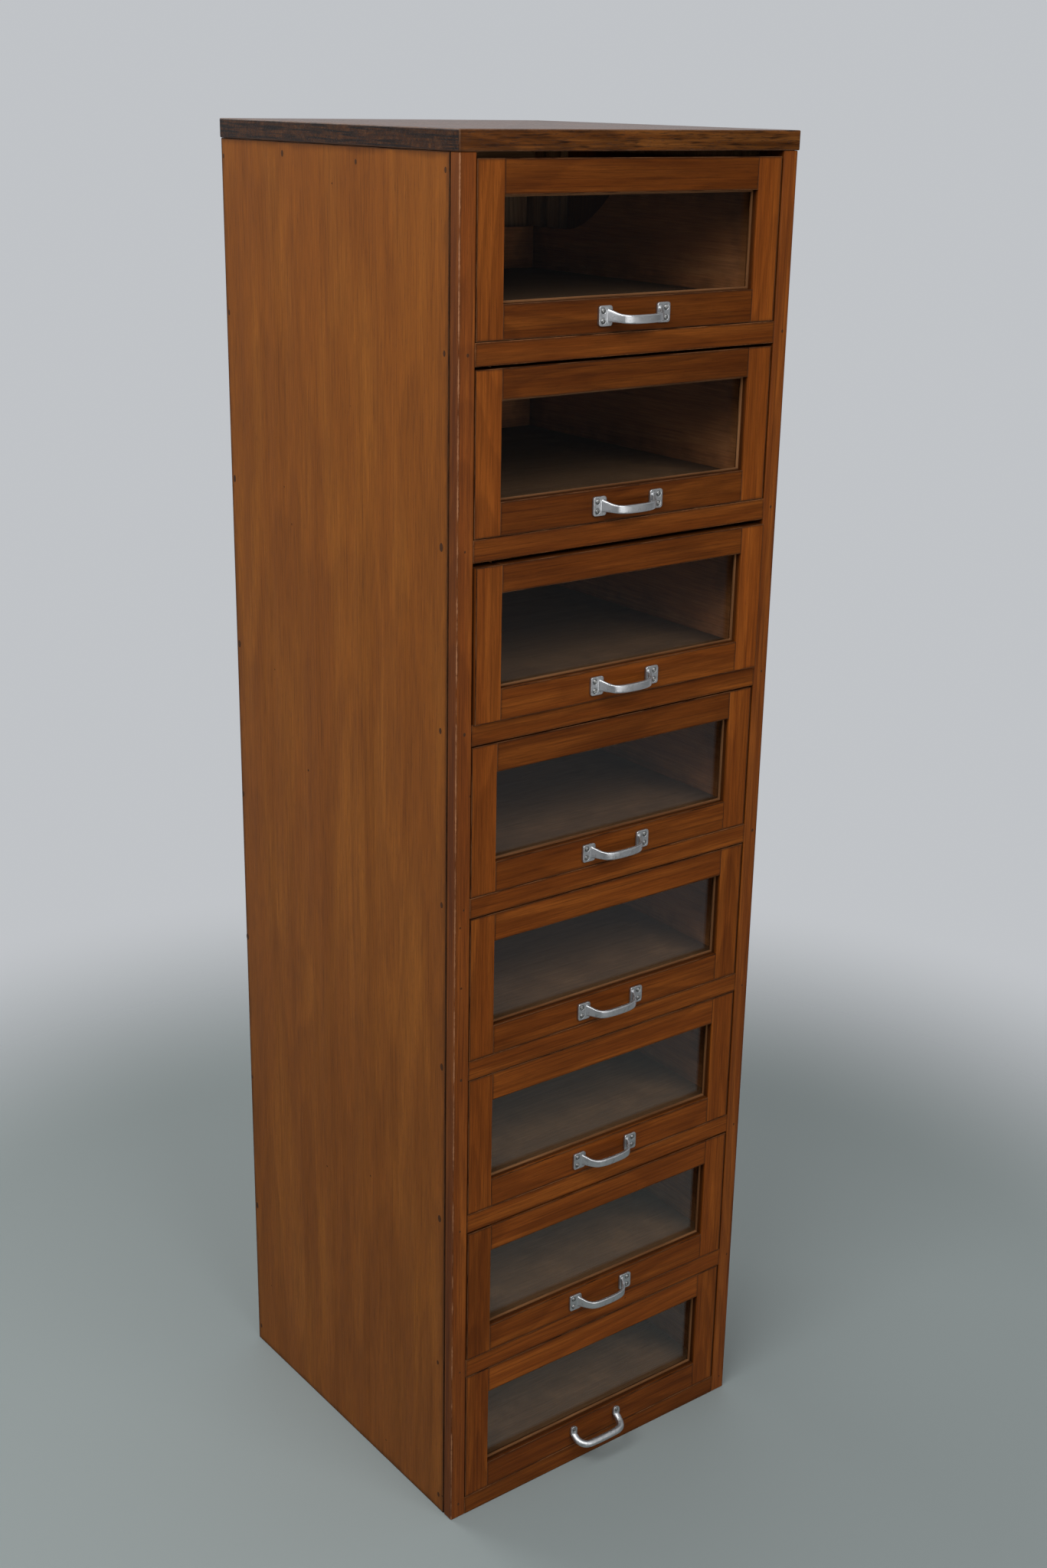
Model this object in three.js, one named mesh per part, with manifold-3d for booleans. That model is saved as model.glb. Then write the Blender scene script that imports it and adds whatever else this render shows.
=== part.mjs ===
// Haberdashery cabinet: a tall, narrow chest of eight glass-fronted drawers.
// Millimetres, +Z up. The drawers open towards -Y, and the origin is the middle of the footprint.

import * as THREE from 'three';
import { mergeVertices } from 'three/addons/utils/BufferGeometryUtils.js';
import Module from 'manifold-3d';

// Carcass
const carcassWidth = 465;
const carcassDepth = 478;
const bottomRailHeight = 25;
const openingHeight = 180.5;
const railHeight = 24.5;
const railDepth = 30;
const headSpace = 5.5;
const topThickness = 21.5;
const topOverhang = 1.5;
const postWidth = 20.8;
const postFaceDepth = 15.5;
const postDepth = 40;
const sidePanelThickness = 8;
const sidePanelGap = 1.5;
const backThickness = 6;
const rearPostDepth = 40;
const rearRailDepth = 18;
const rearRailHeight = 24;
const fitGap = 0.2;

// Runner ladders, one behind each side panel
const uprightThickness = 12;
const uprightDepth = 30;
const runnerReach = 27.5;
const runnerHeight = 22;
const guideHeight = 14;
const guideClearance = 0.8;
const slideGap = 0.3;

// Drawer fronts: what each is short of its opening, and how far it stands out when shut
const headGaps = [0.8, 3.2, 4.6, 1.6, 1.3, 0.8, 1.3, 0.8];
const standOuts = [0, 0, 5, 0, 0, 0, 1, 0];
const frontThickness = 20;
const frontFootGap = 0.6;
const frontGapLeft = 1;
const frontGapRight = 3;
const stileWidth = 34.4;
const frontRailHeight = 36.5;
const windowHeight = 107.5;
const revealDepth = 7.5;
const lipWidth = 3.5;
const lipThickness = 3;
const rebateWidth = 4.5;
const glassThickness = 3;
const glassClearance = 0.5;

// Drawer boxes: high at the front, scooped down to a low back
const boxInset = 1.2;
const boxSideThickness = 9;
const boxBackThickness = 9;
const boxBackClearance = 5;
const boxFrontHeight = 165;
const boxBackHeight = 78;
const scoopFront = 262;
const scoopBack = 372;
const scoopLowShare = 0.62;
const scoopHighShares = [0.07, 0.6];
const floorHeight = 20;
const floorThickness = 6;
const grooveDepth = 4.5;
const grooveClearance = 0.4;

// Cast bow handle on the upper seven drawers
const handleWidth = 100;
const lugHeight = 23;
const lugWidth = 10.5;
const lugThickness = 3;
const lugCornerRadius = 2.5;
const handleReach = 21;
const barThickness = 4.5;
const barHeight = 9.6;
const barDrop = 2.4;
const barBow = 1.2;
const riserLean = 5;
const riserThickness = 4;
const shoulderRun = 13;
const screwHoleRadius = 2;
const screwInset = 5.2;
const screwSpacing = 12;

// Round bow handle on the lowest drawer
const roundHandleCentres = 72;
const roundBarRadius = 4.4;
const roundHandleReach = 21.5;
const roundHandleDrop = 13;
const roundHandleLift = 6;
const roundRouteShares = [
  [1, 0, 0], [1, 0.4, 0.2], [0.98, 0.78, 0.62], [0.84, 0.98, 0.94], [0.6, 1, 1], [0.2, 1, 1],
];
const padRadius = 5.4;
const padThickness = 3.5;
const padHoleRadius = 1.8;

// Fineness of the round stretches, and what a cut runs past a face
const curveSegments = 8;
const holeSides = 10;
const padSides = 20;
const barQuarters = 5;
const barSteps = 30;
const overrun = 1;

// Places that follow from the sizes
const drawerCount = headGaps.length;
const pitch = openingHeight + railHeight;
const carcassHeight = bottomRailHeight + drawerCount * pitch - railHeight + headSpace;
const innerDepth = carcassDepth - backThickness;
const frontLeft = postWidth + frontGapLeft;
const frontRight = carcassWidth - postWidth - frontGapRight;
const frontCentre = (frontLeft + frontRight) / 2;
const windowLeft = frontLeft + stileWidth;
const windowRight = frontRight - stileWidth;
const boxLeft = frontLeft + boxInset;
const boxRight = frontRight - boxInset;
const rearRailFront = innerDepth - rearRailDepth;
const boxEnd = rearRailFront - boxBackClearance;
const ladderFront = postDepth + fitGap;
const ladderBack = innerDepth - rearPostDepth - 2 * fitGap;

const wood = (color, roughness) => new THREE.MeshStandardMaterial({ color, roughness, metalness: 0 });
const frontWood = wood(0x8a4a1c, 0.42);
const sideWood = wood(0x94602f, 0.5);
const topWood = wood(0x4a2c17, 0.3);
const innerWood = wood(0x6b4a2e, 0.65);
const glass = new THREE.MeshStandardMaterial({
  color: 0xd5dcd8, roughness: 0.05, metalness: 0, transparent: true, opacity: 0.35,
});
const castMetal = new THREE.MeshStandardMaterial({ color: 0xb9bbbd, roughness: 0.35, metalness: 1 });

const wasm = await Module();
wasm.setup();

// A closed geometry as a solid that can be joined and cut
function solid(geometry) {
  const bare = geometry.clone();
  bare.deleteAttribute('normal');
  bare.deleteAttribute('uv');
  const merged = mergeVertices(bare);
  return new wasm.Manifold(new wasm.Mesh({
    numProp: 3,
    vertProperties: new Float32Array(merged.attributes.position.array),
    triVerts: new Uint32Array(merged.index.array),
  }));
}

function geometryOf(body) {
  const mesh = body.getMesh();
  const geometry = new THREE.BufferGeometry();
  geometry.setAttribute('position', new THREE.BufferAttribute(mesh.vertProperties, mesh.numProp));
  geometry.setIndex(new THREE.BufferAttribute(mesh.triVerts, 1));
  geometry.computeVertexNormals();
  return geometry;
}

function named(name, geometry, material) {
  const mesh = new THREE.Mesh(geometry, material);
  mesh.name = name;
  return mesh;
}

// A box between two corners, as geometry in its parent's frame
function block(from, to) {
  const size = to.map((value, axis) => Math.abs(value - from[axis]));
  const middle = to.map((value, axis) => (value + from[axis]) / 2);
  return new THREE.BoxGeometry(...size).translate(...middle);
}

// A plain board, placed by its middle
function board(name, material, from, to) {
  const size = to.map((value, axis) => Math.abs(value - from[axis]));
  const mesh = named(name, new THREE.BoxGeometry(...size), material);
  mesh.position.set(...to.map((value, axis) => (value + from[axis]) / 2));
  return mesh;
}

// X at a distance in from the outer face of one side: -1 is the left side, 1 the right
const inFrom = (side, distance) => (side < 0 ? distance : carcassWidth - distance);
const sideName = (side) => (side < 0 ? 'left' : 'right');

// Z of the surface that a drawer runs on, counting the drawers from the top
const runHeight = (index) => bottomRailHeight + (drawerCount - 1 - index) * pitch;

// Front post: square face, rebated behind it for the side panel
function frontPost(side) {
  const outline = new THREE.Shape([
    new THREE.Vector2(inFrom(side, 0), 0),
    new THREE.Vector2(inFrom(side, postWidth), 0),
    new THREE.Vector2(inFrom(side, postWidth), postDepth),
    new THREE.Vector2(inFrom(side, sidePanelThickness + fitGap), postDepth),
    new THREE.Vector2(inFrom(side, sidePanelThickness + fitGap), postFaceDepth),
    new THREE.Vector2(inFrom(side, 0), postFaceDepth),
  ]);
  const geometry = new THREE.ExtrudeGeometry(outline, {
    depth: carcassHeight - fitGap, bevelEnabled: false,
  });
  return named(`front_post_${sideName(side)}`, geometry, frontWood);
}

function rearPost(side) {
  return board(
    `rear_post_${sideName(side)}`, innerWood,
    [inFrom(side, sidePanelThickness + fitGap), innerDepth - rearPostDepth - fitGap, 0],
    [inFrom(side, postWidth), innerDepth - fitGap, carcassHeight - fitGap],
  );
}

function sidePanel(side) {
  return board(
    `side_panel_${sideName(side)}`, sideWood,
    [inFrom(side, 0), postFaceDepth + sidePanelGap, 0],
    [inFrom(side, sidePanelThickness), carcassDepth, carcassHeight - fitGap],
  );
}

// Two uprights with a runner and its guide housed in them under each drawer, and a batten on top
function runnerLadder(side) {
  const outer = inFrom(side, sidePanelThickness + fitGap);
  const upright = inFrom(side, sidePanelThickness + fitGap + uprightThickness);
  const reach = inFrom(side, sidePanelThickness + fitGap + runnerReach);
  const boxFace = side < 0 ? boxLeft - guideClearance : boxRight + guideClearance;
  const top = carcassHeight - fitGap;
  let ladder = solid(block([outer, ladderFront, 0], [upright, ladderFront + uprightDepth, top]));
  ladder = ladder.add(solid(block([outer, ladderBack - uprightDepth, 0], [upright, ladderBack, top])));
  ladder = ladder.add(solid(block([outer, ladderFront, top - uprightThickness], [upright, ladderBack, top])));
  for (let index = 0; index < drawerCount; index += 1) {
    const level = runHeight(index);
    ladder = ladder.add(solid(block([outer, ladderFront, level - runnerHeight], [reach, ladderBack, level])));
    ladder = ladder.add(solid(block([outer, ladderFront, level], [boxFace, ladderBack, level + guideHeight])));
  }
  return named(`runner_ladder_${sideName(side)}`, geometryOf(ladder), innerWood);
}

function crossRail(name, level, height) {
  return board(
    name, frontWood,
    [postWidth + fitGap, 0, level - height],
    [carcassWidth - postWidth - fitGap, railDepth, level],
  );
}

function rearRail(name, bottom) {
  return board(
    name, innerWood,
    [postWidth + fitGap, rearRailFront, bottom],
    [carcassWidth - postWidth - fitGap, innerDepth - fitGap, bottom + rearRailHeight],
  );
}

function carcass() {
  const group = new THREE.Group();
  group.add(board(
    'top_board', topWood,
    [-topOverhang, -topOverhang, carcassHeight],
    [carcassWidth + topOverhang, carcassDepth, carcassHeight + topThickness],
  ));
  group.add(board(
    'back_panel', innerWood,
    [sidePanelThickness + fitGap, innerDepth, 0],
    [carcassWidth - sidePanelThickness - fitGap, carcassDepth, carcassHeight - fitGap],
  ));
  for (const side of [-1, 1]) {
    group.add(frontPost(side), rearPost(side), sidePanel(side), runnerLadder(side));
  }
  for (let index = 0; index < drawerCount - 1; index += 1) {
    group.add(crossRail(`drawer_rail_${index + 1}`, runHeight(index), railHeight));
  }
  group.add(crossRail('bottom_rail', bottomRailHeight, bottomRailHeight));
  group.add(rearRail('rear_bottom_rail', 0));
  group.add(rearRail('rear_top_rail', carcassHeight - fitGap - rearRailHeight));
  return group;
}

// Front frame: a reveal, then a thin lip that the glass lies against, and a rebate behind it
function frontFrame(height) {
  const low = frontRailHeight;
  const high = frontRailHeight + windowHeight;
  const cut = (grow, from, to) => solid(block(
    [windowLeft - grow, from, low - grow], [windowRight + grow, to, high + grow],
  ));
  const behindLip = revealDepth + lipThickness;
  const frame = solid(block([frontLeft, 0, 0], [frontRight, frontThickness, height]))
    .subtract(cut(0, -overrun, revealDepth))
    .subtract(cut(-lipWidth, -overrun, frontThickness))
    .subtract(cut(rebateWidth, behindLip, frontThickness + overrun));
  return geometryOf(frame);
}

function pane(name) {
  const edge = rebateWidth - glassClearance;
  const behindLip = revealDepth + lipThickness + fitGap;
  return board(
    name, glass,
    [windowLeft - edge, behindLip, frontRailHeight - edge],
    [windowRight + edge, behindLip + glassThickness, frontRailHeight + windowHeight + edge],
  );
}

// One side of a drawer box in the Y-Z plane, extruded along X
function boxSide(x) {
  const run = scoopBack - scoopFront;
  const rise = boxFrontHeight - boxBackHeight;
  const outline = new THREE.Shape();
  outline.moveTo(frontThickness + fitGap, 0);
  outline.lineTo(boxEnd, 0);
  outline.lineTo(boxEnd, boxBackHeight);
  outline.lineTo(scoopBack, boxBackHeight);
  outline.bezierCurveTo(
    scoopFront + scoopLowShare * run, boxBackHeight,
    scoopFront + scoopHighShares[0] * run, boxBackHeight + scoopHighShares[1] * rise,
    scoopFront, boxFrontHeight,
  );
  outline.lineTo(frontThickness + fitGap, boxFrontHeight);
  outline.closePath();
  const geometry = new THREE.ExtrudeGeometry(outline, {
    depth: boxSideThickness, bevelEnabled: false, curveSegments,
  });
  const turn = new THREE.Matrix4().makeBasis(
    new THREE.Vector3(0, 1, 0), new THREE.Vector3(0, 0, 1), new THREE.Vector3(1, 0, 0),
  );
  return geometry.applyMatrix4(turn).translate(x, 0, 0);
}

// Two scooped sides and a low back, grooved for the floor, which runs out under the back
function drawerBox() {
  const floorTop = floorHeight + floorThickness + grooveClearance;
  const inLeft = boxLeft + boxSideThickness;
  const inRight = boxRight - boxSideThickness;
  const box = solid(boxSide(boxLeft))
    .add(solid(boxSide(inRight)))
    .add(solid(block(
      [inLeft - grooveDepth, boxEnd - boxBackThickness, floorTop],
      [inRight + grooveDepth, boxEnd, boxBackHeight],
    )))
    .subtract(solid(block(
      [inLeft - grooveDepth, 0, floorHeight],
      [inRight + grooveDepth, boxEnd + overrun, floorTop],
    )));
  return geometryOf(box);
}

function drawerFloor(name) {
  const edge = grooveDepth - grooveClearance;
  return board(
    name, innerWood,
    [boxLeft + boxSideThickness - edge, frontThickness + fitGap, floorHeight + fitGap],
    [boxRight - boxSideThickness + edge, boxEnd, floorHeight + floorThickness + fitGap],
  );
}

// A screw hole along Y
function screwHole(radius, x, z) {
  const hole = new THREE.CylinderGeometry(radius, radius, 2 * handleReach, holeSides);
  return solid(hole.translate(x, 0, z));
}

// The bow from above: two flat lugs, leaning risers and a slightly bowed bar
function bowPlan() {
  const half = handleWidth / 2;
  const root = half - lugWidth;
  const neck = root - riserThickness;
  const inner = handleReach - barThickness;
  const corner = riserThickness;
  const outline = new THREE.Shape();
  outline.moveTo(-half, 0);
  outline.lineTo(-neck, 0);
  outline.lineTo(-neck + riserLean, -inner + corner);
  outline.quadraticCurveTo(-neck + riserLean + barBow, -inner, -neck + riserLean + corner, -inner);
  outline.quadraticCurveTo(0, -inner - barBow, neck - riserLean - corner, -inner);
  outline.quadraticCurveTo(neck - riserLean - barBow, -inner, neck - riserLean, -inner + corner);
  outline.lineTo(neck, 0);
  outline.lineTo(half, 0);
  outline.lineTo(half, -lugThickness);
  outline.lineTo(root, -lugThickness);
  outline.lineTo(root - riserLean, -inner);
  outline.quadraticCurveTo(root - riserLean, -handleReach + barBow, root - riserLean - corner, -handleReach + barBow);
  outline.quadraticCurveTo(0, -handleReach - barBow, -root + riserLean + corner, -handleReach + barBow);
  outline.quadraticCurveTo(-root + riserLean, -handleReach + barBow, -root + riserLean, -inner);
  outline.lineTo(-root, -lugThickness);
  outline.lineTo(-half, -lugThickness);
  outline.closePath();
  const geometry = new THREE.ExtrudeGeometry(outline, {
    depth: lugHeight, bevelEnabled: false, curveSegments,
  });
  return geometry.translate(0, 0, -lugHeight / 2);
}

// The bow from the front: tall lugs that sweep in to a narrow bar below the middle
function bowElevation() {
  const half = handleWidth / 2;
  const tall = lugHeight / 2;
  const barTop = barHeight / 2 - barDrop;
  const barFoot = -barHeight / 2 - barDrop;
  const shoulder = half - lugWidth - riserThickness;
  const waist = shoulder - shoulderRun;
  const round = lugCornerRadius;
  const outline = new THREE.Shape();
  outline.moveTo(-half, -tall + round);
  outline.quadraticCurveTo(-half, -tall, -half + round, -tall);
  outline.lineTo(-shoulder - round, -tall);
  outline.quadraticCurveTo(-shoulder, barFoot, -waist, barFoot);
  outline.lineTo(waist, barFoot);
  outline.quadraticCurveTo(shoulder, barFoot, shoulder + round, -tall);
  outline.lineTo(half - round, -tall);
  outline.quadraticCurveTo(half, -tall, half, -tall + round);
  outline.lineTo(half, tall - round);
  outline.quadraticCurveTo(half, tall, half - round, tall);
  outline.lineTo(shoulder, tall);
  outline.quadraticCurveTo(shoulder - round, barTop, waist, barTop);
  outline.lineTo(-waist, barTop);
  outline.quadraticCurveTo(-shoulder + round, barTop, -shoulder, tall);
  outline.lineTo(-half + round, tall);
  outline.quadraticCurveTo(-half, tall, -half, tall - round);
  outline.closePath();
  const geometry = new THREE.ExtrudeGeometry(outline, {
    depth: 2 * handleReach, bevelEnabled: false, curveSegments,
  });
  const turn = new THREE.Matrix4().makeBasis(
    new THREE.Vector3(1, 0, 0), new THREE.Vector3(0, 0, 1), new THREE.Vector3(0, -1, 0),
  );
  return geometry.applyMatrix4(turn).translate(0, overrun, 0);
}

function bowHandle() {
  let handle = solid(bowPlan()).intersect(solid(bowElevation()));
  for (const x of [-1, 1]) {
    for (const z of [-1, 1]) {
      handle = handle.subtract(screwHole(
        screwHoleRadius, x * (handleWidth / 2 - screwInset), z * screwSpacing / 2,
      ));
    }
  }
  return geometryOf(handle);
}

// A round bar that leaves a pad at each end, comes forward and hangs below them
function roundHandle() {
  const half = roundHandleCentres / 2;
  const reach = roundHandleCentres;
  const route = (side) => roundRouteShares.map(([across, forward, down]) => new THREE.Vector3(
    side * across * half, -forward * roundHandleReach, roundHandleLift - down * roundHandleDrop,
  ));
  const bar = new THREE.CatmullRomCurve3([...route(-1), ...route(1).reverse()]);
  const section = new THREE.Shape();
  section.absarc(0, 0, roundBarRadius, 0, 2 * Math.PI);
  const tube = new THREE.ExtrudeGeometry(section, {
    extrudePath: bar, steps: barSteps, curveSegments: barQuarters,
  });
  let handle = solid(tube);
  for (const side of [-1, 1]) {
    const pad = new THREE.CylinderGeometry(padRadius, padRadius, padThickness, padSides);
    handle = handle.add(solid(pad.translate(side * half, -padThickness / 2, roundHandleLift)));
  }
  const behind = block([-reach, 0, -reach], [reach, reach, reach]);
  handle = handle.subtract(solid(behind));
  for (const side of [-1, 1]) {
    handle = handle.subtract(screwHole(padHoleRadius, side * half, roundHandleLift));
  }
  return geometryOf(handle);
}

const bowGeometry = bowHandle();
const roundGeometry = roundHandle();
const boxGeometry = drawerBox();

function drawer(index) {
  const number = index + 1;
  const group = new THREE.Group();
  const frontHeight = openingHeight - frontFootGap - headGaps[index];
  const frame = named(`drawer_${number}_front_frame`, frontFrame(frontHeight), frontWood);
  const isLowest = index === drawerCount - 1;
  const handle = named(`drawer_${number}_handle`, isLowest ? roundGeometry : bowGeometry, castMetal);
  handle.position.set(frontCentre, -fitGap, frontRailHeight / 2);
  const front = new THREE.Group();
  front.add(frame, pane(`drawer_${number}_glass`), handle);
  front.position.z = frontFootGap;
  const box = new THREE.Group();
  box.add(named(`drawer_${number}_box`, boxGeometry, innerWood), drawerFloor(`drawer_${number}_floor`));
  box.position.z = slideGap;
  group.add(front, box);
  group.position.set(0, -standOuts[index], runHeight(index));
  return group;
}

const cabinet = new THREE.Group();
cabinet.add(carcass());
for (let index = 0; index < drawerCount; index += 1) {
  cabinet.add(drawer(index));
}
const middle = new THREE.Box3().setFromObject(cabinet, true).getCenter(new THREE.Vector3());
cabinet.position.set(-middle.x, -middle.y, 0);

export default cabinet;
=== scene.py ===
"""Haberdashery cabinet: a tall wooden case of eight glass-fronted drawers with cast bow handles."""

import math

import bmesh
import bpy
import numpy as np
from mathutils import Matrix, Quaternion, Vector


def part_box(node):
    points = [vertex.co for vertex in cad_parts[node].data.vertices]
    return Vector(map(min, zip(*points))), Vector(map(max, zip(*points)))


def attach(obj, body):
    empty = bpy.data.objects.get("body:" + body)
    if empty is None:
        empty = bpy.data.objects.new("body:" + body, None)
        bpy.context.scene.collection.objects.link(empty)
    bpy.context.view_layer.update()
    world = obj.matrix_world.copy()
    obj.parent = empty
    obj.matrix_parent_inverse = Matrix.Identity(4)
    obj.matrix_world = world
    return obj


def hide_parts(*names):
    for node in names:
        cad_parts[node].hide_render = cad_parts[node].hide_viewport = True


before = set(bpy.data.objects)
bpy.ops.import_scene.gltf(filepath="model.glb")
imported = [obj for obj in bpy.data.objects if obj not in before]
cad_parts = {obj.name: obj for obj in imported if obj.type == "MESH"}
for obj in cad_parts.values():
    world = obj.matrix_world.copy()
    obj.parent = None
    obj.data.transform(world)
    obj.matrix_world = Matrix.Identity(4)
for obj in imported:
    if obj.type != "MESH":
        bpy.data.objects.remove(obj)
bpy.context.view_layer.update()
scene = bpy.context.scene
scene.view_settings.view_transform = "Standard"


# Camera: held at eye height off the left front corner and tipped down, as in the photograph.
camera_place = Vector((-1.4089, -1.8717, 1.7043))
camera_bearing = math.radians(37.66)
camera_dip = math.radians(19.5)
camera_tilt = math.radians(1.075)
camera_lens = 44.99

ahead = Vector((
    math.sin(camera_bearing) * math.cos(camera_dip),
    math.cos(camera_bearing) * math.cos(camera_dip),
    -math.sin(camera_dip),
))
camera = bpy.data.objects.new("Camera", bpy.data.cameras.new("Camera"))
camera.data.lens = camera_lens
camera.data.clip_end = 60
camera.location = camera_place
camera.rotation_mode = "QUATERNION"
camera.rotation_quaternion = ahead.to_track_quat("-Z", "Y") @ Quaternion((0, 0, 1), camera_tilt)
scene.collection.objects.link(camera)
scene.camera = camera


# Front posts: square red-brown hardwood, rebated behind for the side panels. A century of use has
# rubbed the outer arris pale, and on the left post the pale arris is also a painted highlight where the
# light catches it. Faces set back behind the front are painted darker as painted shade, and the cross
# rails are pegged through the face of each post.
post_arris = 0.0011
post_spare = 0.006
post_end_spare = 0.01
peg_inset_left = 0.0112
peg_inset_right = 0.0082
skin = 0.00002
peg_levels = [1.450, 1.245, 1.040, 0.832, 0.621, 0.419, 0.217, 0.0183]
front_ground = (0.138, 0.0345, 0.0045, 1)
front_light = (0.232, 0.0660, 0.0090, 1)
front_dark = (0.055, 0.0130, 0.0022, 1)
pale_arris_colour = (0.33, 0.140, 0.055, 1)
grime_and_shade_colour = (0.014, 0.0052, 0.0020, 1)
flat_angle = math.radians(1)
arris_angle = math.radians(35)
merge_distance = 1e-6
board_slack = 1e-4
end_grain_share = 0.8


def soften(shape, arris, steps=2):
    """Rounds every sharp edge of a shape by the width of its arris."""
    sharp = [e for e in shape.edges if e.is_manifold and e.calc_face_angle() > arris_angle]
    bmesh.ops.bevel(
        shape, geom=sharp, offset=arris, offset_type="OFFSET", segments=steps, profile=0.5,
        affect="EDGES", clamp_overlap=True,
    )


def softened(node, arris, steps=2):
    """A CAD node's loose triangles as one closed shape with whole flat faces and soft edges."""
    shape = bmesh.new()
    shape.from_mesh(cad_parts[node].data)
    bmesh.ops.remove_doubles(shape, verts=shape.verts, dist=merge_distance)
    bmesh.ops.dissolve_limit(shape, angle_limit=flat_angle, verts=shape.verts, edges=shape.edges)
    soften(shape, arris, steps)
    return shape


def board(low, high, grain, spare_low=(0, 0, 0), spare_high=(0, 0, 0)):
    """A board between two corners. Spare is how far its ends run on under a neighbour, unworn."""
    return (low, high, grain, spare_low, spare_high)


def one_board(node, grain):
    """The whole node as one board."""
    return board(*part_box(node), grain)


def read_all(items, name, kind, width):
    """One value, or one vector, of every item of a mesh."""
    values = np.zeros(len(items) * width, dtype=kind)
    items.foreach_get(name, values)
    return values.reshape(-1, width)


def mark_boards(mesh, boards, seed, tones=None, face=None):
    """Stores on each corner its place in its own board, grain first, that board's half size and tone,
    whether it is end grain, and how far it lies behind the drawer's face."""
    dice = np.random.default_rng(seed)
    centres = read_all(mesh.polygons, "center", float, 3)
    owner = np.full(len(centres), -1)
    order = {"X": [0, 1, 2], "Y": [1, 0, 2], "Z": [2, 0, 1]}
    middles, halves, turns = [], [], []
    for number, (low, high, grain, spare_low, spare_high) in enumerate(boards):
        inside = (centres >= np.array(low) - board_slack).all(1)
        inside &= (centres <= np.array(high) + board_slack).all(1)
        owner[inside & (owner < 0)] = number
        start = np.array(low) + np.array(spare_low)
        end = np.array(high) + np.array(spare_high)
        middles.append((start + end) / 2)
        halves.append((end - start) / 2)
        turns.append(order[grain])
    owner[owner < 0] = 0
    middles, halves, turns = np.array(middles), np.array(halves), np.array(turns)
    counts = read_all(mesh.polygons, "loop_total", int, 1)[:, 0]
    of_corner = np.repeat(owner, counts)
    vertex = read_all(mesh.loops, "vertex_index", int, 1)[:, 0]
    points = read_all(mesh.vertices, "co", float, 3)[vertex]
    place = np.take_along_axis(points - middles[of_corner], turns[of_corner], 1)
    reach = np.take_along_axis(halves[of_corner], turns[of_corner], 1)
    tone = dice.random(len(boards)) if tones is None else np.array(tones)
    normals = read_all(mesh.polygons, "normal", float, 3)
    along = np.abs(np.take_along_axis(normals, turns[owner][:, :1], 1))[:, 0]
    behind = np.zeros(len(points)) if face is None else points[:, 1] - face
    for name, values in (("place", place), ("reach", reach)):
        layer = mesh.attributes.new(name, "FLOAT_VECTOR", "CORNER")
        layer.data.foreach_set("vector", values.ravel())
    for name, values in (
        ("tone", tone[of_corner]),
        ("end_grain", np.repeat(along > end_grain_share, counts).astype(float)),
        ("behind", behind),
    ):
        mesh.attributes.new(name, "FLOAT", "CORNER").data.foreach_set("value", values)


def shape_mesh(name, shape):
    """Turns a shape into a mesh and lets the shape go."""
    mesh = bpy.data.meshes.new(name)
    shape.to_mesh(mesh)
    shape.free()
    return mesh


def add_object(name, data):
    made = bpy.data.objects.new(name, data)
    scene.collection.objects.link(made)
    return made


def wooden_piece(name, shape, boards, body, material, nodes, seed=0, tones=None, face=None):
    """Turns a shape into a piece that rides on its body and stands for its nodes."""
    mesh = shape_mesh(name, shape)
    mark_boards(mesh, boards, seed, tones, face)
    mesh.materials.append(material)
    piece = add_object(name, mesh)
    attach(piece, body)
    if nodes:
        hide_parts(*nodes)


def feed(node, values):
    """Fills a node's inputs, each with a number, a colour, a vector or another node's output."""
    for key, value in values.items():
        if isinstance(value, bpy.types.NodeSocket):
            node.id_data.links.new(value, node.inputs[key])
        else:
            node.inputs[key].default_value = value


def put(tree, kind, inputs=None, **settings):
    """Adds a node to a tree."""
    made = tree.nodes.new(kind)
    for name, value in settings.items():
        setattr(made, name, value)
    feed(made, inputs or {})
    return made


def out(tree, kind, inputs=None, **settings):
    """Adds a node to a tree and gives its first output."""
    return put(tree, kind, inputs, **settings).outputs[0]


def follow(kind, inputs, **settings):
    """Adds a node to the tree that its inputs come from and gives its first output."""
    tree = next(value.id_data for value in inputs.values() if isinstance(value, bpy.types.NodeSocket))
    return out(tree, kind, inputs, **settings)


def math_of(operation, first, second=0.0, third=0.0, clamp=False):
    values = {0: first, 1: second, 2: third}
    return follow("ShaderNodeMath", values, operation=operation, use_clamp=clamp)


def times(first, second, clamp=False):
    return math_of("MULTIPLY", first, second, clamp=clamp)


def vector_of(operation, first, second=(0, 0, 0)):
    return follow("ShaderNodeVectorMath", {0: first, 1: second}, operation=operation)


def triple(first, second, third):
    return follow("ShaderNodeCombineXYZ", {0: first, 1: second, 2: third})


def parts_of(vector):
    return put(vector.id_data, "ShaderNodeSeparateXYZ", {0: vector}).outputs


def ease(value, start, end, low=0.0, high=1.0):
    """A smooth step from low to high as the value goes from start to end."""
    limits = {"From Min": start, "From Max": end, "To Min": low, "To Max": high}
    return follow("ShaderNodeMapRange", {"Value": value, **limits}, interpolation_type="SMOOTHSTEP")


def blend_colours(share, first, second, blend="MIX"):
    tree = (share if isinstance(share, bpy.types.NodeSocket) else first).id_data
    values = {0: share, 6: first, 7: second}
    return put(tree, "ShaderNodeMix", values, data_type="RGBA", blend_type=blend).outputs[2]


def noise(vector, detail, roughness=0.5, distortion=0.0, scale=1.0):
    return follow("ShaderNodeTexNoise", {
        "Vector": vector, "Scale": scale, "Detail": detail, "Roughness": roughness,
        "Distortion": distortion,
    })


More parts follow.
